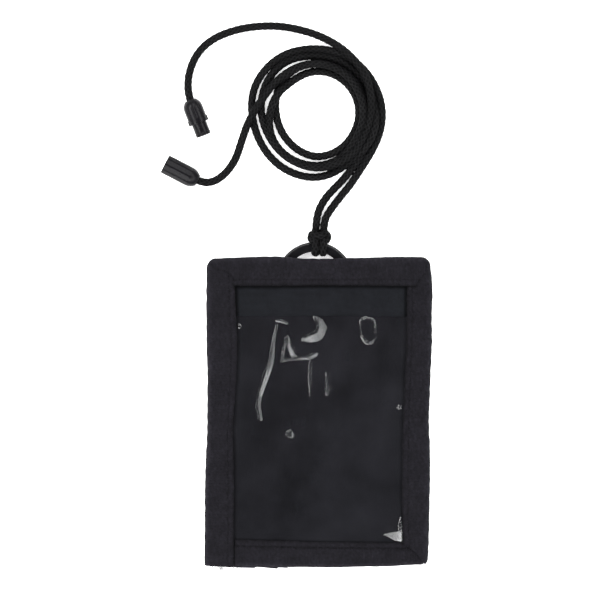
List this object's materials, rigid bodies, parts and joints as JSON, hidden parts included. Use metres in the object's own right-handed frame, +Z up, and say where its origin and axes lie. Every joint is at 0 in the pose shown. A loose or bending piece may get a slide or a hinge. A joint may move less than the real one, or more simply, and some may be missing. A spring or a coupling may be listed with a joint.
{
  "type": "neck pouch wallet",
  "caption": "Flat fabric neck pouch with a clear card window, bound edges, a zipped back pocket and a split ring that holds a coiled neck cord with a breakaway clasp.",
  "frame": {"origin": "on the surface that the pouch lies on, under the middle of the pouch and its ring", "axes": "+X across the pouch, +Y from the pouch towards the ring and neck cord, +Z up out of the clear window"},
  "size_m": [0.1229, 0.2489, 0.0091],
  "materials": {
    "binding_tape": "ribbed woven nylon tape, matt black",
    "panel_fabric": "plain woven nylon, matt black",
    "clear_vinyl": "clear flexible vinyl, glossy",
    "zipper_tape": "woven polyester tape, matt black",
    "zipper_teeth": "moulded black nylon",
    "zipper_metal": "black enamelled zinc, satin",
    "tab_webbing": "ribbed polypropylene webbing, matt black",
    "sewing_thread": "polyester thread, black",
    "ring_metal": "gloss black plated spring steel",
    "braided_cord": "round braided polyester, matt black",
    "connector_plastic": "moulded black acetal, semi-matt"
  },
  "bodies": {
    "pouch": {"binding_top": "binding_tape", "binding_right": "binding_tape", "binding_bottom": "binding_tape", "binding_left": "binding_tape", "front_panel": "panel_fabric", "window_sheet": "clear_vinyl", "back_panel_upper": "panel_fabric", "back_panel_lower": "panel_fabric", "zipper_tape_upper": "zipper_tape", "zipper_tape_lower": "zipper_tape", "zipper_teeth_upper": "zipper_teeth", "zipper_teeth_lower": "zipper_teeth", "zipper_end_stops": "zipper_metal", "ring_tab": "tab_webbing", "ring_tab_stitching": "sewing_thread"},
    "lanyard": {"cord_hitch": "braided_cord", "cord_lead_left": "braided_cord", "cord_lead_right": "braided_cord", "cord_coil": "braided_cord", "cord_tail_plug": "braided_cord", "cord_tail_socket": "braided_cord", "breakaway_plug": "connector_plastic", "breakaway_socket": "connector_plastic", "plug_cord_knot": "braided_cord", "socket_cord_knot": "braided_cord"},
    "ring": {"split_ring": "ring_metal"},
    "zip_slider": {"zipper_slider": "zipper_metal"},
    "zip_pull": {"zipper_pull": "zipper_metal"}
  },
  "joints": [
    {"name": "ring_draw", "type": "slide", "parent": "pouch", "child": "lanyard", "axis": [0, 1, 0], "range_m": [0, 0.006]},
    {"name": "ring_spin", "type": "hinge", "parent": "lanyard", "child": "ring", "pos_m": [-0.0014, 0.0562, 0.0033], "axis": [0, 0, 1], "continuous": true},
    {"name": "zip_travel", "type": "slide", "parent": "pouch", "child": "zip_slider", "axis": [-1, 0, 0], "range_m": [0, 0.0595]},
    {"name": "pull_swing", "type": "hinge", "parent": "zip_slider", "child": "zip_pull", "pos_m": [0.031, 0.02, 0.00265], "axis": [0, -1, 0], "range_deg": [0, 165]}
  ]
}
